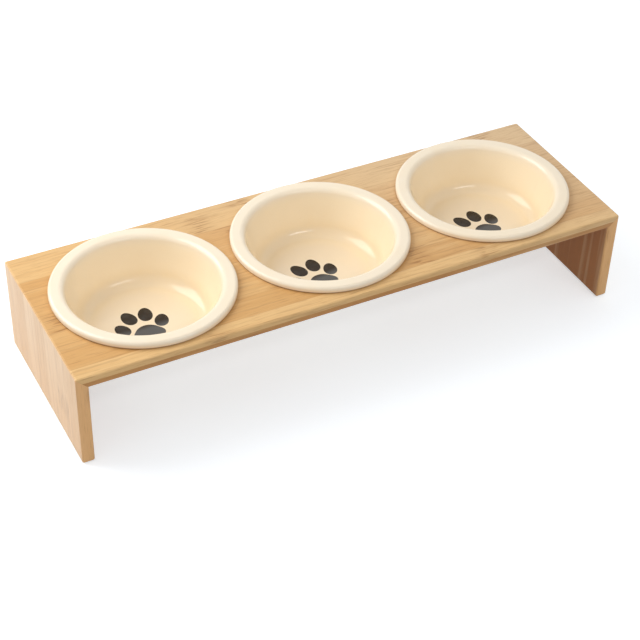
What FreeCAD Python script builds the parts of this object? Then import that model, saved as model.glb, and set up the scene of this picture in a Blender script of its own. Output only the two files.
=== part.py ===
"""Pet feeding station: a mitred bamboo stand that holds three lift-out ceramic bowls.

Lengths are in millimetres. X runs along the stand, the front faces -Y and +Z is up.
The origin is on the floor, under the middle of the stand.
"""
import FreeCAD, Part
import math
import os

# Stand: a board on two leg panels, all of one thickness, joined by mitres
stand_length = 425.0
stand_depth = 140.0
stand_height = 75.0
panel_thickness = 9.0
edge_radius = 1.5

# Pads stuck under the ends of the legs
pad_thickness = 1.0
pad_length = 16.0
pad_side_margin = 0.2
pad_end_inset = 10.0

# Dowels glued across each mitre, set in from the outer faces
dowel_diameter = 4.0
dowel_length = 9.5
dowel_count = 4
dowel_set_in = 6.0
dowel_end_inset = 18.0
dowel_glue_room = 0.1

# Room round the rims: to the stand's ends, to its front and back, and from bowl to bowl
rim_end_margin = 11.0
rim_side_margin = 5.0
bowl_gap = 6.5
bowl_count = 3

# Bowls: rim, wall and floor, measured from the seat under the rim
rim_width = 10.5
rim_height = 5.0
rim_crown_share = 0.5
rim_underside_share = 0.25
lip_radius = 4.5
floor_drop = 30.0
wall_taper = 9.5
floor_corner_radius = 10.0
floor_thickness = 3.5
wall_thickness = 3.5

# Foot ring under each bowl
foot_inset = 1.0
foot_width = 5.0
foot_height = 2.5
foot_edge_share = 0.4

# Holes in the board, round the bowls' walls
hole_clearance = 1.35
neck_radius_share = 0.6

# How far a cutting solid reaches past what it cuts
overrun = 5.0

origin = FreeCAD.Vector(0, 0, 0)
up = FreeCAD.Vector(0, 0, 1)
backwards = FreeCAD.Vector(0, 1, 0)
half_length = stand_length / 2
half_depth = stand_depth / 2

# The bowls share the stand's length evenly, and their rims are as wide as its length and depth both allow
bowl_pitch = (stand_length - 2 * rim_end_margin + bowl_gap) / bowl_count
rim_diameter = min(bowl_pitch - bowl_gap, stand_depth - 2 * rim_side_margin)
rim_radius = rim_diameter / 2
floor_radius = rim_radius - rim_width - wall_taper
bowl_places = {"left_bowl": -bowl_pitch, "middle_bowl": 0, "right_bowl": bowl_pitch}


def inner_wall_radius(height):
    """Radius of the wall's inner face at a height over the seat: a straight taper from lip to floor."""
    return floor_radius + wall_taper * (height + floor_drop) / (rim_height + floor_drop)


def outer_wall_radius(height):
    """Radius of the wall's outer face, parallel to the inner face."""
    rise = rim_height + floor_drop
    return inner_wall_radius(height) + wall_thickness * math.hypot(rise, wall_taper) / rise


hole_radius = outer_wall_radius(0) + hole_clearance


def rounded_outline(corners):
    """Closed wire in the XZ plane through (x, z, radius) corners, each rounded by a tangent arc."""
    points = [FreeCAD.Vector(x, 0, z) for x, z, radius in corners]
    entries = []
    middles = []
    exits = []
    for index, corner in enumerate(points):
        radius = corners[index][2]
        to_last = (points[index - 1] - corner).normalize()
        to_next = (points[(index + 1) % len(points)] - corner).normalize()
        half_angle = to_last.getAngle(to_next) / 2
        tangent = radius / math.tan(half_angle)
        entries.append(corner + to_last * tangent)
        exits.append(corner + to_next * tangent)
        inwards = (to_last + to_next).normalize()
        middles.append(corner + inwards * (radius / math.sin(half_angle) - radius))
    edges = []
    for index, corner in enumerate(corners):
        if corner[2] > 0:
            edges.append(Part.Arc(entries[index], middles[index], exits[index]).toShape())
        following = entries[(index + 1) % len(corners)]
        edges.append(Part.makeLine(exits[index], following))
    return Part.Wire(edges)


def bowl(place):
    """Bowl turned about its own axis: rolled rim, tapering wall, flat floor and foot ring."""
    base = -floor_drop - floor_thickness
    base_corner_radius = floor_corner_radius + wall_thickness
    base_radius = outer_wall_radius(base)
    spread = outer_wall_radius(0) - base_radius
    wall_angle = math.pi / 2 + math.atan2(spread, -base)
    foot_outside = base_radius - base_corner_radius / math.tan(wall_angle / 2) - foot_inset
    foot_inside = foot_outside - foot_width
    foot_edge = foot_edge_share * foot_height
    section = rounded_outline([
        (0, -floor_drop, 0),
        (floor_radius, -floor_drop, floor_corner_radius),
        (inner_wall_radius(rim_height), rim_height, lip_radius),
        (rim_radius, rim_height, rim_crown_share * rim_height),
        (rim_radius, 0, rim_underside_share * rim_height),
        (outer_wall_radius(0), 0, neck_radius_share * hole_clearance),
        (base_radius, base, base_corner_radius),
        (foot_outside, base, 0),
        (foot_outside, base - foot_height, foot_edge),
        (foot_inside, base - foot_height, foot_edge),
        (foot_inside, base, 0),
        (0, base, 0),
    ])
    turned = Part.Face(section).revolve(origin, up, 360)
    turned.translate(FreeCAD.Vector(place, 0, stand_height))
    return turned


def eased_stand():
    """The whole bench shape in one piece, with every outer edge eased, before it is cut at the mitres."""
    leg_height = stand_height - pad_thickness
    corner = FreeCAD.Vector(-half_length, -half_depth, pad_thickness)
    block = Part.makeBox(stand_length, stand_depth, leg_height, corner)
    space_corner = FreeCAD.Vector(panel_thickness - half_length, -half_depth - overrun, pad_thickness - overrun)
    space_length = stand_length - 2 * panel_thickness
    space_height = leg_height - panel_thickness + overrun
    space = Part.makeBox(space_length, stand_depth + 2 * overrun, space_height, space_corner)
    bench = block.cut(space)
    under_board = stand_height - panel_thickness
    outer_edges = []
    for edge in bench.Edges:
        middle = edge.CenterOfMass
        runs_deep = abs(middle.y) < edge_radius
        in_inner_corner = runs_deep and abs(middle.z - under_board) < edge_radius
        if not in_inner_corner:
            outer_edges.append(edge)
    return bench.makeFillet(edge_radius, outer_edges)


def mitre_wedge():
    """Prism that holds the board between the two mitre planes, which run at 45 degrees."""
    top_half = half_length + overrun
    bottom_half = half_length - panel_thickness - overrun
    top = stand_height + overrun
    bottom = stand_height - panel_thickness - overrun
    section = rounded_outline([
        (-top_half, top, 0),
        (top_half, top, 0),
        (bottom_half, bottom, 0),
        (-bottom_half, bottom, 0),
    ])
    prism = Part.Face(section).extrude(backwards * (stand_depth + 2 * overrun))
    prism.translate(backwards * (-half_depth - overrun))
    return prism


def corner_dowels(side, room):
    """Row of dowels square to one mitre; side is -1 for the left corner and 1 for the right."""
    axis = FreeCAD.Vector(-side, 0, 1).normalize()
    length = dowel_length + 2 * room
    first = dowel_end_inset - half_depth
    step = (stand_depth - 2 * dowel_end_inset) / (dowel_count - 1)
    dowels = []
    for number in range(dowel_count):
        middle = FreeCAD.Vector(side * (half_length - dowel_set_in), first + number * step,
                                stand_height - dowel_set_in)
        start = middle - axis * (length / 2)
        dowels.append(Part.makeCylinder(dowel_diameter / 2 + room, length, start, axis))
    return Part.makeCompound(dowels)


def bowl_hole(place):
    """Straight hole through the board for one bowl."""
    start = FreeCAD.Vector(place, 0, stand_height - panel_thickness - overrun)
    return Part.makeCylinder(hole_radius, panel_thickness + 2 * overrun, start, up)


def stand_panels():
    """Board and legs: the eased bench cut at the mitres, with bowl holes and dowel holes."""
    bench = eased_stand()
    wedge = mitre_wedge()
    left_holes = corner_dowels(-1, dowel_glue_room)
    right_holes = corner_dowels(1, dowel_glue_room)
    board = bench.common(wedge)
    for place in bowl_places.values():
        board = board.cut(bowl_hole(place))
    board = board.cut(left_holes).cut(right_holes)
    left_leg, right_leg = sorted(bench.cut(wedge).Solids, key=lambda leg: leg.CenterOfMass.x)
    return {
        "top_board": board.Solids[0],
        "left_leg": left_leg.cut(left_holes).Solids[0],
        "right_leg": right_leg.cut(right_holes).Solids[0],
    }


def foot_pad(side, end):
    """Thin round-ended pad under one end of one leg; end is -1 at the front and 1 at the back."""
    half_width = panel_thickness / 2 - edge_radius - pad_side_margin
    half_run = pad_length / 2 - half_width
    middle = FreeCAD.Vector(side * (half_length - panel_thickness / 2),
                            end * (half_depth - pad_end_inset - pad_length / 2), 0)
    across = FreeCAD.Vector(half_width, 0, 0)
    front = middle - backwards * half_run
    back = middle + backwards * half_run
    outline = Part.Wire([
        Part.makeLine(front + across, back + across),
        Part.Arc(back + across, back + backwards * half_width, back - across).toShape(),
        Part.makeLine(back - across, front - across),
        Part.Arc(front - across, front - backwards * half_width, front + across).toShape(),
    ])
    return Part.Face(outline).extrude(up * pad_thickness)


def build():
    """Every piece of the feeding station by its name."""
    pieces = stand_panels()
    pieces["left_corner_dowels"] = corner_dowels(-1, 0)
    pieces["right_corner_dowels"] = corner_dowels(1, 0)
    for side, side_name in ((-1, "left"), (1, "right")):
        for end, end_name in ((-1, "front"), (1, "back")):
            pieces[f"{end_name}_{side_name}_foot_pad"] = foot_pad(side, end)
    for name, place in bowl_places.items():
        pieces[name] = bowl(place)
    return pieces


os.makedirs("parts", exist_ok=True)
for name, shape in build().items():
    shape.exportStep(os.path.join("parts", name + ".step"))
    box = shape.BoundBox
    print(name, shape.isValid(), len(shape.Solids), round(shape.Volume), box.XLength, box.YLength, box.ZLength)
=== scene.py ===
"""Looks of the pet feeding station: a mitred bamboo stand that holds three cream glazed bowls.

Lengths are in metres. X runs along the stand, the front faces -Y and +Z is up.
"""
import math

import bpy
import numpy as np
from bpy.props import FloatProperty, FloatVectorProperty, IntProperty, PointerProperty
from mathutils import Matrix, Vector


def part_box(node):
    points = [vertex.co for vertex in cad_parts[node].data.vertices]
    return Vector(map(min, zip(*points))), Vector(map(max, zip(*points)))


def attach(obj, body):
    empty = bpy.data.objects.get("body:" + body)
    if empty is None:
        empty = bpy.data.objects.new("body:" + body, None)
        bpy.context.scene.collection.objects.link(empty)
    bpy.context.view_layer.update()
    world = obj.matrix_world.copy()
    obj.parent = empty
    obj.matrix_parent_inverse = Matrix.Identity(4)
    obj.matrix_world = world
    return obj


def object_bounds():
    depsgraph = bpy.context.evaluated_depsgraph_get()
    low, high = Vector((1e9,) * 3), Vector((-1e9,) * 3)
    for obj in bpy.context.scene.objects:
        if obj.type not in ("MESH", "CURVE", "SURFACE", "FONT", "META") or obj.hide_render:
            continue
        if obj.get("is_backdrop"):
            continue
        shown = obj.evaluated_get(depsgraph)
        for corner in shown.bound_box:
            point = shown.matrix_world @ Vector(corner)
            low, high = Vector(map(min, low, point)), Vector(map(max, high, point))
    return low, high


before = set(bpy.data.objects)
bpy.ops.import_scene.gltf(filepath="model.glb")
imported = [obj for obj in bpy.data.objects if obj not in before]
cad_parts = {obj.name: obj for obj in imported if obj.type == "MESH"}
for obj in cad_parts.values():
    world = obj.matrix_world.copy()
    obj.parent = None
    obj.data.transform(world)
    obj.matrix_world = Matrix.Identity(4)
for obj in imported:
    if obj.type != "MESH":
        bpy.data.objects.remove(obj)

bl_info = {
    "name": "Pet feeding station",
    "version": (1, 0, 0),
    "blender": (4, 5, 0),
    "location": "3D View > Sidebar > Feeding station",
    "description": "Bamboo, glaze, paw prints and a plain stage for a stand with three bowls",
    "category": "Object",
}

cad_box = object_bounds()
mm = 0.001
white = (1, 1, 1)

# Sizes that the packed model gives
board_low, board_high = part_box("top_board")
half_length = board_high.x
board_top = board_high.z
panel_thickness = board_high.z - board_low.z
bowl_names = ("left_bowl", "middle_bowl", "right_bowl")
bowl_boxes = {name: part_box(name) for name in bowl_names}
bowl_middles = {name: (low + high) / 2 for name, (low, high) in bowl_boxes.items()}
bowl_pitch = bowl_middles["right_bowl"].x - bowl_middles["middle_bowl"].x
rim_top = bowl_boxes["middle_bowl"][1].z
rim_radius = bowl_boxes["middle_bowl"][1].x - bowl_middles["middle_bowl"].x
foot_bottom = bowl_boxes["middle_bowl"][0].z


def screen_colour(red, green, blue):
    """Linear colour of a screen colour given in steps of 0 to 255."""
    shares = np.array((red, green, blue)) / 255
    linear = np.where(shares <= 0.04045, shares / 12.92, ((shares + 0.055) / 1.055) ** 2.4)
    return tuple(float(share) for share in linear)


def colour_setting(name, description, red, green, blue):
    """A colour that the user can change."""
    return FloatVectorProperty(name=name, description=description, subtype="COLOR", size=3, min=0, max=1,
                               default=screen_colour(red, green, blue))


def length_setting(name, description, default):
    """A length in metres that the user can change."""
    return FloatProperty(name=name, description=description, subtype="DISTANCE", unit="LENGTH", precision=5,
                         min=0, default=default)


def share_setting(name, description, default):
    """A share from 0 to 1 that the user can change."""
    return FloatProperty(name=name, description=description, subtype="FACTOR", min=0, max=1, default=default)


def power_setting(name, description, default):
    """A lamp's power in watts that the user can change."""
    return FloatProperty(name=name, description=description, subtype="POWER", unit="POWER",
                         min=0, default=default)


def angle_setting(name, description, degrees):
    """An angle that the user can change."""
    return FloatProperty(name=name, description=description, subtype="ANGLE", unit="ROTATION",
                         default=math.radians(degrees))


# Settings

class BambooSettings(bpy.types.PropertyGroup):
    """Laminated bamboo of the board and legs"""
    pale: colour_setting("Pale stave", "Colour of the palest staves on the board", 236, 196, 137)
    dark: colour_setting("Dark stave", "Colour of the darkest staves", 213, 161, 97)
    # The legs' pale staves are partly their own tone and partly a painted sheen
    leg: colour_setting("Leg stave", "Colour of the palest staves on the legs", 250, 217, 177)
    # Painted sheen: the board turns paler and greyer towards its back right
    painted_sheen: colour_setting("Faded stave", "Colour to which the board fades at its back right", 226, 203, 170)
    edge: colour_setting("Leg edge", "Colour of the legs' front and back edges", 244, 190, 128)
    fibre: colour_setting("Fibre", "Colour of the fibres, knuckles and glue lines", 146, 94, 48)
    # Painted shade: the back layer darkens the board's underside and lower edges and the legs' inner faces
    back: colour_setting("Back layer", "Colour of the layer at the back of a panel", 182, 110, 38)
    stave_width: length_setting("Stave width", "Width of one stave", 20 * mm)
    front_stave: length_setting("Front stave", "Width left of the stave at the front edge", 11 * mm)
    layer_count: IntProperty(name="Layers", description="Layers of staves in a panel", min=1, default=2)
    knuckle_spacing: length_setting("Knuckle spacing", "Length of stave between two knuckles", 210 * mm)
    roughness: share_setting("Roughness", "Roughness of the satin lacquer", 0.36)


class GlazeSettings(bpy.types.PropertyGroup):
    """Cream glaze and bare clay of the bowls"""
    wall: colour_setting("Wall", "Glaze colour on the wall", 255, 237, 205)
    # The floor colour is a darker copy of the wall glaze: painted shade on the bowl's floor
    floor: colour_setting("Floor", "Glaze colour on the floor", 240, 221, 191)
    rim: colour_setting("Rim", "Glaze colour on the crest of the rim, where it runs thin", 250, 235, 210)
    pooled: colour_setting("Pooled", "Glaze colour in the corner where it pools", 249, 226, 186)
    # Painted contact shadow: brown colour along the foot of the rim, where it sits on the board
    thin: colour_setting("Thin", "Brown body colour that shows where the rim sits on the board", 150, 102, 62)
    clay: colour_setting("Clay", "Bare clay under the foot ring", 226, 208, 182)
    roughness: share_setting("Roughness", "Roughness of the glaze", 0.14)


class PawSettings(bpy.types.PropertyGroup):
    """Paw print on each bowl's floor"""
    toe: colour_setting("Toes", "Charcoal colour of the toes", 44, 31, 12)
    # Painted reflection: this colour greys the print towards the palm at its front
    palm: colour_setting("Palm", "Greyer colour of the palm, where the print is thinner", 86, 85, 84)
    relief: length_setting("Relief", "Height of the print's crown over the floor", 0.15 * mm)
    roughness: share_setting("Roughness", "Roughness of the print's glaze", 0.22)


class SmallPartSettings(bpy.types.PropertyGroup):
    """Dowels in the mitres and pads under the legs"""
    dowel: colour_setting("Dowel", "Raw bamboo of the dowels", 226, 192, 140)
    dowel_fibre: colour_setting("Dowel fibre", "Colour of the fibres in the dowels", 164, 116, 66)
    pad: colour_setting("Pad", "Rubber of the foot pads", 142, 140, 136)


class StageSettings(bpy.types.PropertyGroup):
    """Floor, light and camera"""
    floor: colour_setting("Floor", "Colour of the floor, as the light from it shows", 190, 190, 190)
    floor_shade: colour_setting("Floor shade", "Colour of the seen floor's light and shadow", 214, 221, 228)
    floor_glow: share_setting("Floor glow", "Light of the seen floor itself, to keep its shadow pale", 0.54)
    ambient: FloatProperty(name="Ambient", description="Strength of the light from all round",
                           min=0, default=0.52)
    key_power: power_setting("Key", "Power of the large lamp at the back left", 6.5)
    fill_power: power_setting("Fill", "Power of the strip lamp in front", 2.6)
    camera_place: FloatVectorProperty(name="Camera", description="Where the camera stands",
                                      subtype="TRANSLATION", unit="LENGTH", size=3,
                                      default=(-0.4407, -0.8136, 0.7576))
    heading: angle_setting("Heading", "Turn of the camera from +Y towards +X", 28.56)
    pitch: angle_setting("Pitch", "How far the camera looks down", 39.36)
    roll: angle_setting("Roll", "Tilt of the camera about its view", 1.92)
    lens: FloatProperty(name="Lens", description="Focal length in millimetres",
                        subtype="DISTANCE_CAMERA", unit="CAMERA", min=1, default=90.0)


# Shader maths

class Wire:
    """One shader socket. Python's operators on it add Math nodes, so shader maths reads as an expression."""

    def __init__(self, finish, socket):
        self.finish = finish
        self.socket = socket

    def __add__(self, other):
        return self.finish.maths("ADD", self, other)

    def __sub__(self, other):
        return self.finish.maths("SUBTRACT", self, other)

    def __rsub__(self, other):
        return self.finish.maths("SUBTRACT", other, self)

    def __mul__(self, other):
        return self.finish.maths("MULTIPLY", self, other)

    def __truediv__(self, other):
        return self.finish.maths("DIVIDE", self, other)

    def __rtruediv__(self, other):
        return self.finish.maths("DIVIDE", other, self)

    def __abs__(self):
        return self.finish.maths("ABSOLUTE", self)

    def __floor__(self):
        return self.finish.maths("FLOOR", self)

    def __round__(self):
        return self.finish.maths("ROUND", self)

    __radd__ = __add__
    __rmul__ = __mul__

    def fraction(self):
        """What is left over the whole number below."""
        return self.finish.maths("FRACT", self)

    def between(self, low, high):
        """A value from low to high as this one goes from 0 to 1."""
        return self * (high - low) + low

    def rise(self, low, high):
        """0 up to low, 1 from high on, and a smooth step between; it falls where low is above high."""
        return self.finish.node("ShaderNodeMapRange", {"interpolation_type": "SMOOTHSTEP"},
                                {"Value": self, "From Min": low, "From Max": high})


class Finish:
    """A node tree being written: node() makes any node, and wires do the maths."""

    def __init__(self, tree):
        self.tree = tree
        self.tree.nodes.clear()

    def node(self, kind, settings=None, sockets=None, output=0):
        """Adds a node, sets its settings and then its sockets' values or links, and gives one output."""
        made = self.tree.nodes.new(kind)
        for name, value in (settings or {}).items():
            setattr(made, name, value)
        for key, value in (sockets or {}).items():
            socket = self.find(made.inputs, key)
            if isinstance(value, Wire):
                self.tree.links.new(value.socket, socket)
            elif socket.type == "RGBA":
                socket.default_value = (*value[:3], 1)
            else:
                socket.default_value = value
        return Wire(self, self.find(made.outputs, output)) if made.outputs else None

    @staticmethod
    def find(sockets, key):
        """A socket by its number, its identifier or its name."""
        by_identifier = {socket.identifier: socket for socket in sockets}
        return by_identifier[key] if key in by_identifier else sockets[key]

    def maths(self, operation, *values):
        """One Math node on up to three values."""
        return self.node("ShaderNodeMath", {"operation": operation}, dict(enumerate(values)))

    def place(self):
        """Place on the piece."""
        return self.node("ShaderNodeTexCoord", output="Object")

    def axes(self):
        """The x, y and z of the place on the piece."""
        place = self.place()
        return [self.node("ShaderNodeSeparateXYZ", sockets={0: place}, output=axis) for axis in range(3)]

    def vector(self, x, y, z):
        """A vector from three values."""
        return self.node("ShaderNodeCombineXYZ", sockets={0: x, 1: y, 2: z})

    def noise(self, vector, scale=1.0, detail=2.0):
        """Smooth noise from 0 to 1 at a place."""
        return self.node("ShaderNodeTexNoise", sockets={"Vector": vector, "Scale": scale, "Detail": detail})

    def grain(self, along, across, depth, scale, detail=2.0):
        """Noise drawn out along the grain; its scale says how fast it changes along and across it."""
        along_scale, across_scale = scale
        stretched = self.vector(along * along_scale, across * across_scale, depth * across_scale)
        return self.noise(stretched, detail=detail)

    def chance(self, x, y, z):
        """An even random value from 0 to 1 for three whole numbers."""
        return self.node("ShaderNodeTexWhiteNoise", {"noise_dimensions": "3D"},
                         {"Vector": self.vector(x, y, z)}, "Value")

    def mix(self, share, first, second):
        """A colour between two colours."""
        return self.node("ShaderNodeMix", {"data_type": "RGBA"},
                         {"Factor_Float": share, "A_Color": first, "B_Color": second}, "Result_Color")

    def bump(self, height, distance, strength):
        """A normal bent by a height from 0 to 1."""
        return self.node("ShaderNodeBump",
                         sockets={"Height": height, "Distance": distance, "Strength": strength})

    def surface(self, **sockets):
        """The finished surface: a Principled shader with these sockets, spaces written as underscores."""
        named = {name.replace("_", " "): value for name, value in sockets.items()}
        self.output(self.node("ShaderNodeBsdfPrincipled", sockets=named))

    def output(self, shader, kind="ShaderNodeOutputMaterial"):
        """Sends a shader to the tree's output."""
        self.node(kind, sockets={"Surface": shader})


def new_finish(name):
    """An empty material and the finish that fills it."""
    material = bpy.data.materials.new(name)
    material.use_nodes = True
    return material, Finish(material.node_tree)


def give_finish(piece, material):
    """Puts one material on a piece in place of what it had."""
    piece.data.materials.clear()
    piece.data.materials.append(material)


def add_object(name, data):
    """A new object in the scene that shows these data."""
    made = bpy.data.objects.new(name, data)
    bpy.context.scene.collection.objects.link(made)
    return made


# Bamboo

# Numbers that pick the random tones and the random shifts of the staves
board_batch = 360
leg_batch = 311
shift_batch = 11.0
longest_shift = 0.9

# How fast each pattern changes along the grain and across it, per metre
band_scale = (7, 190)
streak_scale = (20, 430)
fine_scale = (80, 1500)
dash_scale = (70, 650)
wave_scale = (40, 150)
dowel_scale = (40, 1600)

# Shares of the pale colour in the staves, from the darkest stave to the palest
board_tones = (0.15, 0.85)
# The legs' narrow, pale range of tones is partly a painted sheen
leg_tones = (0.52, 0.85)
front_stave_tone = 0.9

# Shares by which each mark shows
pale_band_share = 0.45
dark_band_share = 0.3
# Shares of the back layer's painted shade on the board and on the legs, and how much pale bands lift it
board_shade_layer_share = 0.62
leg_shade_layer_share = 0.95
pale_band_in_shade_share = 0.3
# Strength and reach of the painted sheen at the board's back right
sheen_share = 0.6
sheen_reach = 500 * mm
cut_edge_share = 0.8
# Share of the painted shade near the floor on the legs
shade_near_floor_share = 0.3
board_grain_shares = (0.27, 0.32)
leg_grain_shares = (0.14, 0.19)
halo_share = 0.1
knuckle_share = 0.38
stave_line_share = 0.2
layer_line_share = 0.15
mitre_line_share = 0.2


class Lamination:
    """Where a point lies in a panel of glued staves.

    A stave's number is its distance from the front over the stave width, shifted half a stave in each next
    layer. Its number and layer pick the shift of its grain and knuckles along the stave.
    """

    def __init__(self, finish, settings, is_leg):
        self.finish = finish
        self.x, self.y, self.z = finish.axes()
        self.from_end = half_length - abs(self.x)
        self.from_top = board_top - self.z
        self.from_front = self.y - board_low.y
        along, self.depth = (self.z, self.from_end) if is_leg else (self.x, self.from_top)
        self.layer_place = self.depth * (settings.layer_count / panel_thickness)
        # A little is added, so that rounding leaves the outer face in its own layer
        self.layer = math.floor(self.layer_place + 0.001)
        from_first = self.from_front - settings.front_stave
        self.stave_place = from_first / settings.stave_width + self.layer * 0.5
        self.stave = math.floor(self.stave_place)
        self.shift = finish.chance(self.stave, self.layer, shift_batch)
        self.run = along + self.shift * longest_shift

    def grain(self, scale, detail):
        """Noise drawn out along the staves."""
        return self.finish.grain(self.run, self.y, self.depth, scale, detail)

    def knuckles(self, spacing):
        """Halo and dashes of the knuckles, which cross a stave in a wavy line once in each spacing."""
        place = (self.run / spacing).fraction() - 0.5
        wave = self.finish.grain(self.shift, self.y, self.depth, wave_scale, detail=1.0) - 0.5
        distance = abs(place * spacing + wave * (12 * mm))
        halo = distance.rise(15 * mm, 2 * mm)
        dashes = self.grain(dash_scale, detail=1.0).rise(0.5, 0.66)
        return halo, halo * dashes

    def joint_lines(self):
        """Glue lines between staves, glue lines between layers and the line of the mitre."""
        stave_line = abs(self.stave_place.fraction() - 0.5).rise(0.485, 0.5)
        layer_line = abs(self.layer_place.fraction() - 0.5).rise(0.45, 0.5)
        mitre_line = abs(self.from_end - self.from_top).rise(0.5 * mm, 0.15 * mm)
        return stave_line, layer_line, mitre_line


def stave_colour(wood, settings, band, pale_share, palest):
    """Colour between dark and palest by a share, with pale and dark bands drawn out along the grain."""
    colour = wood.finish.mix(pale_share, settings.dark, palest)
    colour = wood.finish.mix(band.rise(0.5, 0.25) * pale_band_share, colour, palest)
    return wood.finish.mix(band.rise(0.5, 0.75) * dark_band_share, colour, settings.dark)


def board_colour(wood, settings, band):
    """Random staves, a pale one in front, a painted sheen towards the back right, and a browner back layer of
    painted shade.
    """
    finish = wood.finish
    tone = finish.chance(wood.stave, wood.layer, board_batch).between(*board_tones)
    in_front_stave = wood.stave.rise(-0.5, -1)
    pale_share = finish.maths("MAXIMUM", tone, in_front_stave * front_stave_tone)
    colour = stave_colour(wood, settings, band, pale_share, settings.pale)
    # Painted sheen, growing towards the back right
    painted_sheen = (wood.x + wood.from_front * 2).rise(0, sheen_reach)
    colour = finish.mix(painted_sheen * sheen_share, colour, settings.painted_sheen)
    # Painted shade on the board's lower layer: its underside and the lower half of its edges
    shade_layer_share = board_shade_layer_share - band.rise(0.5, 0.3) * pale_band_in_shade_share
    return finish.mix(wood.layer.rise(0, 1) * shade_layer_share, colour, settings.back)


def leg_colour(wood, settings, band):
    """Pale staves of each leg's own, partly a painted sheen, warmer at the cut edges,
    with painted shade near the floor and in a brown back layer.
    """
    finish = wood.finish
    batch = finish.maths("SIGN", wood.x) + leg_batch
    pale_share = finish.chance(wood.stave, wood.layer, batch).between(*leg_tones)
    colour = stave_colour(wood, settings, band, pale_share, settings.leg)
    cut_edge = (board_high.y - abs(wood.y)).rise(2 * mm, 0.5 * mm)
    # Painted shade on the legs' inner layer, under the board, kept off the cut edges
    shaded_inner_layer = wood.layer.rise(0, 1) * (1 - cut_edge)
    shade_layer_share = leg_shade_layer_share - band.rise(0.5, 0.3) * pale_band_in_shade_share
    colour = finish.mix(shaded_inner_layer * shade_layer_share, colour, settings.back)
    # Painted shade: the legs turn darker and warmer towards the floor
    shade_near_floor = wood.z.rise(65 * mm, 5 * mm) * (1 - shaded_inner_layer)
    warm_share = finish.maths("MAXIMUM", cut_edge * cut_edge_share, shade_near_floor * shade_near_floor_share)
    return finish.mix(warm_share, colour, settings.edge)


def bamboo_material(name, settings, is_leg):
    """Laminated bamboo: coloured staves, darkened by streaks, fine fibres, knuckles and glue lines."""
    material, finish = new_finish(name)
    wood = Lamination(finish, settings, is_leg)
    band = wood.grain(band_scale, detail=2.0)
    streak = wood.grain(streak_scale, detail=3.0)
    fine = wood.grain(fine_scale, detail=2.0)
    halo, knuckle = wood.knuckles(settings.knuckle_spacing)
    stave_line, layer_line, mitre_line = wood.joint_lines()

    paint = leg_colour if is_leg else board_colour
    colour = paint(wood, settings, band)
    streak_share, fine_share = leg_grain_shares if is_leg else board_grain_shares
    glue = stave_line * stave_line_share + layer_line * layer_line_share + mitre_line * mitre_line_share
    dark_marks = (
        streak.rise(0.5, 0.72) * streak_share,
        fine.rise(0.52, 0.75) * fine_share,
        halo * halo_share,
        (knuckle * knuckle_share + glue).rise(0, 1),
    )
    for mark in dark_marks:
        colour = finish.mix(mark, colour, settings.fibre)
    height = fine * 0.6 + streak * 0.4 - stave_line * 0.5 - knuckle * 0.8
    finish.surface(
        Base_Color=colour,
        Roughness=fine.between(settings.roughness - 0.07, settings.roughness + 0.07),
        Normal=finish.bump(height, distance=0.12 * mm, strength=0.35),
        Specular_IOR_Level=0.25,
    )
    return material


def dowel_material(settings):
    """Raw bamboo with fibres along each dowel, which lies at 45 degrees across its mitre."""
    material, finish = new_finish("dowel_bamboo")
    x, y, z = finish.axes()
    slope = finish.maths("SIGN", x)
    fibre = finish.grain(z - abs(x), y, z * slope + x, dowel_scale)
    finish.surface(
        Base_Color=finish.mix(fibre.rise(0.4, 0.8) * 0.4, settings.dowel, settings.dowel_fibre),
        Roughness=fibre.between(0.6, 0.8),
        Normal=finish.bump(fibre, distance=0.1 * mm, strength=0.4),
    )
    return material


# Glaze, print and rubber

mottle_share = 0.16
speck_share = 0.18
# Share of the painted contact shadow at the foot of the rim
seat_shadow_share = 0.85
clay_roughness = 0.6
pad_hollow_shade = 0.7


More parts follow.
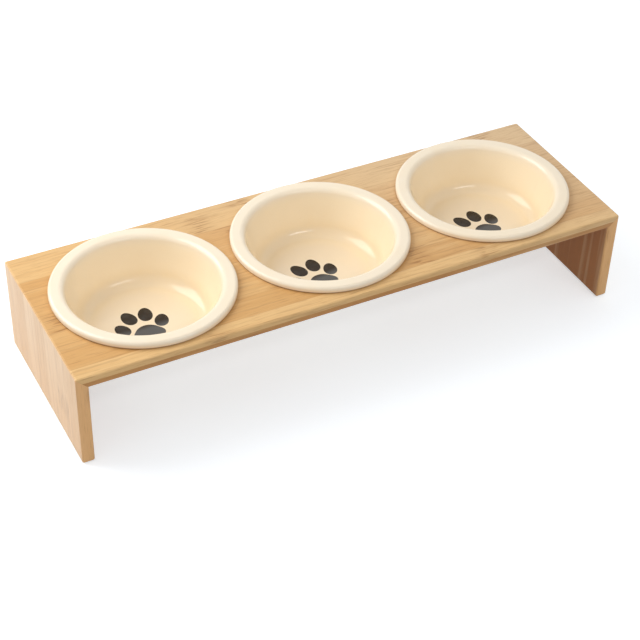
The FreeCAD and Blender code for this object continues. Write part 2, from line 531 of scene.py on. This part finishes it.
def glaze_material(settings):
    """Cream glaze: paler where it runs thin over the rim, deeper where it pools, bare clay under the foot.
    A brown line at the foot of the rim is a painted contact shadow where it sits on the board, and the floor
    is a darker copy of the wall glaze, as painted shade.

    Each bowl is drawn about its own axis, by taking whole pitches off x.
    """
    material, finish = new_finish("cream_glaze")
    inner_floor = bowl_floor("middle_bowl").z
    place = finish.place()
    x, y, z = finish.axes()
    from_axis = x - round(x / bowl_pitch) * bowl_pitch
    radius = finish.maths("SQRT", from_axis * from_axis + y * y)
    mottle = finish.noise(place, scale=55.0, detail=3.0)
    ripple = finish.noise(place, scale=260.0, detail=1.0)
    speck = finish.noise(place, scale=1500.0, detail=0.0).rise(0.74, 0.8)

    on_floor = z.rise(inner_floor + 9 * mm, inner_floor + 2 * mm)
    crest = z.rise(board_top - 4 * mm, rim_top - 0.5 * mm)
    in_corner = radius.rise(28 * mm, 39 * mm) * z.rise(inner_floor + 14 * mm, inner_floor + 3 * mm)
    on_rim = radius.rise(rim_radius - 4 * mm, rim_radius - 2 * mm)
    # Painted contact shadow on the lowest part of the rim, just above the board
    seat_shadow = on_rim * z.rise(board_top + 1.7 * mm, board_top + 0.3 * mm)
    bare = z.rise(foot_bottom + 0.9 * mm, foot_bottom + 0.5 * mm)

    # Painted shade: the floor and lowest wall take the darker floor copy of the glaze
    colour = finish.mix(on_floor, settings.wall, settings.floor)
    colour = finish.mix(crest, colour, settings.rim)
    colour = finish.mix(in_corner * mottle.between(0.25, 0.75), colour, settings.pooled)
    colour = finish.mix(mottle.rise(0.4, 0.75) * mottle_share, colour, settings.pooled)
    colour = finish.mix(speck * speck_share, colour, settings.clay)
    colour = finish.mix(seat_shadow * seat_shadow_share, colour, settings.thin)
    colour = finish.mix(bare, colour, settings.clay)
    glaze_roughness = mottle.between(settings.roughness - 0.04, settings.roughness + 0.04)
    finish.surface(
        Base_Color=colour,
        Roughness=glaze_roughness + bare * clay_roughness,
        Normal=finish.bump(mottle * 0.7 + ripple * 0.3, distance=0.12 * mm, strength=0.25),
        IOR=1.52,
    )
    return material


def print_material(settings):
    """Charcoal print glaze with a painted reflection that greys it towards the palm, and a faint brushed
    unevenness.
    """
    material, finish = new_finish("charcoal_print")
    place = finish.place()
    upwards = finish.node("ShaderNodeAttribute", {"attribute_name": "upwards"}, output="Fac")
    cloud = finish.noise(place, scale=160.0, detail=3.0)
    grain = finish.noise(place, scale=1400.0, detail=2.0)
    # Painted reflection, greying the print from the toes towards the palm
    colour = finish.mix(upwards.rise(4 * mm, -3 * mm), settings.toe, settings.palm)
    colour = finish.mix(cloud.rise(0.35, 0.75) * 0.2, colour, settings.palm)
    finish.surface(
        Base_Color=colour,
        Roughness=grain.between(settings.roughness - 0.06, settings.roughness + 0.06),
        Normal=finish.bump(grain, distance=0.02 * mm, strength=0.2),
        Specular_IOR_Level=0.25,
    )
    return material


def pad_material(settings):
    """Grey anti-slip rubber with a fine stipple."""
    material, finish = new_finish("pad_rubber")
    stipple = finish.noise(finish.place(), scale=1800.0, detail=2.0)
    hollow = tuple(pad_hollow_shade * share for share in settings.pad)
    finish.surface(
        Base_Color=finish.mix(stipple.rise(0.3, 0.7), settings.pad, hollow),
        Roughness=stipple.between(0.7, 0.85),
        Normal=finish.bump(stipple, distance=0.1 * mm, strength=0.5),
    )
    return material


# Paw prints

inner_toe_half_size = (5.2 * mm, 7.4 * mm)
outer_toe_half_size = (5.0 * mm, 6.7 * mm)
inner_toe_place = (6.1 * mm, 14 * mm)
outer_toe_place = (14.5 * mm, 3.7 * mm)
inner_toe_lean = math.radians(13)
outer_toe_lean = math.radians(22)
toe_taper = 0.1
palm_middle = (1.3 * mm, -5.8 * mm)
palm_half_size = (11.3 * mm, 8 * mm)
palm_lobe = 0.09
print_turns = {"left_bowl": math.radians(-1), "middle_bowl": math.radians(8), "right_bowl": math.radians(12)}
print_offsets = {
    "left_bowl": (-3.3 * mm, -6.0 * mm),
    "middle_bowl": (-5.4 * mm, -6.9 * mm),
    "right_bowl": (-1.3 * mm, -5.2 * mm),
}


def toe_outline(around, half_across, half_along):
    """Egg: an ellipse whose width shrinks towards its tip by a share of the sine."""
    x = half_across * np.cos(around) * (1 - toe_taper * np.sin(around))
    y = half_along * np.sin(around)
    return x, y


def palm_outline(around, half_across, half_along):
    """Rounded three-lobed pad: a circle whose radius swells three times round, stretched sideways."""
    reach = 1 - palm_lobe * np.sin(3 * around)
    x = half_across * reach * np.cos(around)
    y = half_along * reach * np.sin(around)
    return x, y


def lens_faces(rings, columns):
    """Faces of a closed lens of rings, whose top and bottom poles follow the ring points."""
    ring = np.arange(rings - 1)[:, None]
    column = np.arange(columns)
    following = (column + 1) % columns
    upper = ring * columns
    lower = upper + columns
    corners = (upper + column, lower + column, lower + following, upper + following)
    quads = np.stack(corners, axis=-1).reshape(-1, 4)
    last_ring = (rings - 1) * columns
    top_pole = np.full(columns, rings * columns)
    bottom_pole = top_pole + 1
    top_fan = np.stack([top_pole, column, following], axis=-1)
    bottom_fan = np.stack([bottom_pole, last_ring + following, last_ring + column], axis=-1)
    return quads.tolist() + top_fan.tolist() + bottom_fan.tolist()


def crowned_pad(outline, half_size, middle, lean, relief, rows=24, columns=72):
    """Thin closed lens over an outline, as vertices and faces.

    From the top pole to the bottom pole, the outline is scaled by the sine of the polar angle and the height
    is the relief times its cosine, so the lens's rim lies at height 0. Poles are one vertex each.
    """
    polar = np.linspace(0, math.pi, rows + 1)[1:-1, None]
    around = np.linspace(0, 2 * math.pi, columns, endpoint=False)[None, :]
    flat_x, flat_y = outline(around, *half_size)
    out_x = np.sin(polar) * flat_x
    out_y = np.sin(polar) * flat_y
    x = middle[0] + out_x * math.cos(lean) - out_y * math.sin(lean)
    y = middle[1] + out_x * math.sin(lean) + out_y * math.cos(lean)
    z = relief * np.cos(polar) * np.ones_like(around)
    ring_points = np.stack([x, y, z], axis=-1).reshape(-1, 3)
    poles = np.array([[*middle, relief], [*middle, -relief]])
    return np.concatenate([ring_points, poles]), lens_faces(rows - 1, columns)


def paw_shape(relief):
    """Points and faces of a palm and of two toes on each side, about the print's middle."""
    toes = (
        (inner_toe_place, inner_toe_half_size, inner_toe_lean),
        (outer_toe_place, outer_toe_half_size, outer_toe_lean),
    )
    pads = [crowned_pad(palm_outline, palm_half_size, palm_middle, 0, relief)]
    for side in (-1, 1):
        for (out, up), half_size, lean in toes:
            pads.append(crowned_pad(toe_outline, half_size, (side * out, up), -side * lean, relief))
    faces = []
    start = 0
    for pad_points, pad_faces in pads:
        faces += [[start + corner for corner in face] for face in pad_faces]
        start += len(pad_points)
    return np.concatenate([pad_points for pad_points, pad_faces in pads]), faces


def paw_print(name, place, turn, relief):
    """A paw as one mesh, turned about the print's middle and set at a place on the bowl's floor.

    The attribute named upwards keeps each point's distance from the print's middle towards the toes.
    """
    points, faces = paw_shape(relief)
    turned = points @ np.array(Matrix.Rotation(turn, 3, "Z")).T + np.array(place)
    mesh = bpy.data.meshes.new(name)
    mesh.from_pydata(turned, [], faces)
    mesh.polygons.foreach_set("use_smooth", np.ones(len(mesh.polygons), dtype=bool))
    upwards = mesh.attributes.new("upwards", "FLOAT", "POINT")
    upwards.data.foreach_set("value", points[:, 1])
    mesh.update()
    return add_object(name, mesh)


def bowl_floor(name):
    """Middle of a bowl's inner floor, found by looking down its axis."""
    middle = bowl_middles[name]
    above = Vector((middle.x, middle.y, rim_top + 10 * mm))
    hit, place, normal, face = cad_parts[name].ray_cast(above, Vector((0, 0, -1)))
    if not hit:
        raise RuntimeError(f"{name} has no floor under its axis")
    return place


# Stage

# The floor lies just under the pads, and from a distance on it is plain white
floor_reach = 6.0
floor_level = -0.1 * mm
white_start = 0.4
white_full = 0.8
lamp_aim = (0, 0, board_top)
key_place = (-0.55, 0.46, 0.68)
key_size = (0.75, 0.75)
fill_place = (0.2, -0.9, 1.0)
fill_size = (0.8, 0.1)


def seen_directly(finish):
    """1 for rays from the camera, from a gloss or through glass, and 0 for other light."""
    rays = [finish.node("ShaderNodeLightPath", output=name)
            for name in ("Is Camera Ray", "Is Glossy Ray", "Is Transmission Ray")]
    return finish.maths("MAXIMUM", finish.maths("MAXIMUM", rays[0], rays[1]), rays[2])


def floor_material(settings):
    """Pale floor: white where it is seen lit or far off, with a soft grey shadow under the stand."""
    material, finish = new_finish("stage_floor")
    x, y = finish.axes()[:2]
    far_off = finish.maths("SQRT", x * x + y * y).rise(white_start, white_full)
    plain = finish.node("ShaderNodeBsdfDiffuse", sockets={"Color": settings.floor})
    shaded = finish.node("ShaderNodeBsdfDiffuse", sockets={"Color": settings.floor_shade})
    glow = finish.node("ShaderNodeEmission", sockets={"Color": white, "Strength": settings.floor_glow})
    bright = finish.node("ShaderNodeEmission", sockets={"Color": white, "Strength": 1.0})
    near = finish.node("ShaderNodeAddShader", sockets={0: shaded, 1: glow})
    seen = finish.node("ShaderNodeMixShader", sockets={0: far_off, 1: near, 2: bright})
    finish.output(finish.node("ShaderNodeMixShader", sockets={0: seen_directly(finish), 1: plain, 2: seen}))
    return material


def make_floor(settings):
    """Wide square floor."""
    corners = [(-floor_reach, -floor_reach, floor_level), (floor_reach, -floor_reach, floor_level),
               (floor_reach, floor_reach, floor_level), (-floor_reach, floor_reach, floor_level)]
    mesh = bpy.data.meshes.new("stage_floor")
    mesh.from_pydata(corners, [], [(0, 1, 2, 3)])
    floor = add_object("stage_floor", mesh)
    give_finish(floor, floor_material(settings))
    return floor


def make_world(settings):
    """Even light from all round, seen as plain white."""
    world = bpy.data.worlds.new("studio")
    world.use_nodes = True
    finish = Finish(world.node_tree)
    soft = finish.node("ShaderNodeBackground", sockets={"Color": white, "Strength": settings.ambient})
    bright = finish.node("ShaderNodeBackground", sockets={"Color": white, "Strength": 1.0})
    shader = finish.node("ShaderNodeMixShader", sockets={0: seen_directly(finish), 1: soft, 2: bright})
    finish.output(shader, "ShaderNodeOutputWorld")
    bpy.context.scene.world = world


def make_lamp(name, place, size, power):
    """Soft box at a place, turned to what it lights."""
    lamp = bpy.data.lights.new(name, "AREA")
    lamp.shape = "RECTANGLE"
    lamp.size, lamp.size_y = size
    lamp.energy = power
    lamp_object = add_object(name, lamp)
    lamp_object.location = place
    lamp_object.rotation_euler = (Vector(lamp_aim) - Vector(place)).to_track_quat("-Z", "Y").to_euler()


def make_camera(settings):
    """Camera at its place, turned by heading, pitch and roll."""
    camera = bpy.data.cameras.new("photo_camera")
    camera.lens = settings.lens
    camera_object = add_object("photo_camera", camera)
    heading = Matrix.Rotation(-settings.heading, 4, "Z")
    level = Matrix.Rotation(math.radians(90) - settings.pitch, 4, "X")
    tilt = Matrix.Rotation(settings.roll, 4, "Z")
    camera_object.matrix_world = Matrix.Translation(settings.camera_place) @ heading @ level @ tilt
    bpy.context.scene.camera = camera_object


# Operators

class FEEDER_OT_board(bpy.types.Operator):
    """Give the top board its laminated bamboo"""
    bl_idname = "feeder.board"
    bl_label = "Finish the board"

    def execute(self, context):
        material = bamboo_material("board_bamboo", context.scene.feeder_bamboo, is_leg=False)
        give_finish(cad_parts["top_board"], material)
        return {"FINISHED"}


class FEEDER_OT_legs(bpy.types.Operator):
    """Give both legs laminated bamboo with upright grain"""
    bl_idname = "feeder.legs"
    bl_label = "Finish the legs"

    def execute(self, context):
        material = bamboo_material("leg_bamboo", context.scene.feeder_bamboo, is_leg=True)
        for name in ("left_leg", "right_leg"):
            give_finish(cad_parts[name], material)
        return {"FINISHED"}


class FEEDER_OT_dowels(bpy.types.Operator):
    """Give the corner dowels raw bamboo"""
    bl_idname = "feeder.dowels"
    bl_label = "Finish the dowels"

    def execute(self, context):
        material = dowel_material(context.scene.feeder_small_parts)
        for name in ("left_corner_dowels", "right_corner_dowels"):
            give_finish(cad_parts[name], material)
        return {"FINISHED"}


class FEEDER_OT_pads(bpy.types.Operator):
    """Give the foot pads stippled rubber"""
    bl_idname = "feeder.pads"
    bl_label = "Finish the foot pads"

    def execute(self, context):
        material = pad_material(context.scene.feeder_small_parts)
        for end in ("front", "back"):
            for side in ("left", "right"):
                give_finish(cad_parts[f"{end}_{side}_foot_pad"], material)
        return {"FINISHED"}


class FEEDER_OT_bowls(bpy.types.Operator):
    """Glaze the three bowls"""
    bl_idname = "feeder.bowls"
    bl_label = "Glaze the bowls"

    def execute(self, context):
        material = glaze_material(context.scene.feeder_glaze)
        for name in bowl_names:
            give_finish(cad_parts[name], material)
        return {"FINISHED"}


class FEEDER_OT_paw_prints(bpy.types.Operator):
    """Lay a paw print on the floor of each bowl"""
    bl_idname = "feeder.paw_prints"
    bl_label = "Lay the paw prints"

    def execute(self, context):
        settings = context.scene.feeder_paw
        material = print_material(settings)
        for name in bowl_names:
            place = bowl_floor(name) + Vector((*print_offsets[name], 0))
            piece = paw_print(name.replace("bowl", "paw_print"), place, print_turns[name], settings.relief)
            give_finish(piece, material)
            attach(piece, name)
        return {"FINISHED"}


class FEEDER_OT_stage(bpy.types.Operator):
    """Set the floor, the light and the camera"""
    bl_idname = "feeder.stage"
    bl_label = "Set the stage"

    def execute(self, context):
        settings = context.scene.feeder_stage
        floor = make_floor(settings)
        floor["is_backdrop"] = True
        make_world(settings)
        make_lamp("key_lamp", key_place, key_size, settings.key_power)
        make_lamp("fill_lamp", fill_place, fill_size, settings.fill_power)
        make_camera(settings)
        context.scene.view_settings.view_transform = "Standard"
        return {"FINISHED"}


class FEEDER_PT_sidebar(bpy.types.Panel):
    """Lists the settings and the steps that use them"""
    bl_idname = "FEEDER_PT_sidebar"
    bl_label = "Feeding station"
    bl_space_type = "VIEW_3D"
    bl_region_type = "UI"
    bl_category = "Feeding station"

    def draw(self, context):
        for setting_name, group, operators in sections:
            box = self.layout.box()
            box.label(text=group.__doc__)
            settings = getattr(context.scene, setting_name)
            for name in group.__annotations__:
                box.prop(settings, name)
            for operator in operators:
                box.operator(operator.bl_idname)


sections = (
    ("feeder_bamboo", BambooSettings, (FEEDER_OT_board, FEEDER_OT_legs)),
    ("feeder_small_parts", SmallPartSettings, (FEEDER_OT_dowels, FEEDER_OT_pads)),
    ("feeder_glaze", GlazeSettings, (FEEDER_OT_bowls,)),
    ("feeder_paw", PawSettings, (FEEDER_OT_paw_prints,)),
    ("feeder_stage", StageSettings, (FEEDER_OT_stage,)),
)


def register():
    """Registers the settings, the operators and the panel."""
    for setting_name, group, operators in sections:
        bpy.utils.register_class(group)
        setattr(bpy.types.Scene, setting_name, PointerProperty(type=group))
        for operator in operators:
            bpy.utils.register_class(operator)
    bpy.utils.register_class(FEEDER_PT_sidebar)


def unregister():
    """Takes them all away again, last first."""
    bpy.utils.unregister_class(FEEDER_PT_sidebar)
    for setting_name, group, operators in reversed(sections):
        for operator in reversed(operators):
            bpy.utils.unregister_class(operator)
        delattr(bpy.types.Scene, setting_name)
        bpy.utils.unregister_class(group)


def main():
    """Registers the classes, runs every step in order and works out the two boxes."""
    register()
    bpy.ops.feeder.board()
    bpy.ops.feeder.legs()
    bpy.ops.feeder.dowels()
    bpy.ops.feeder.pads()
    bpy.ops.feeder.bowls()
    bpy.ops.feeder.paw_prints()
    bpy.ops.feeder.stage()
    boxes = {
        "cad": [list(corner) for corner in cad_box],
        "visual": [list(corner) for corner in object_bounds()],
    }


if __name__ == "__main__":
    main()
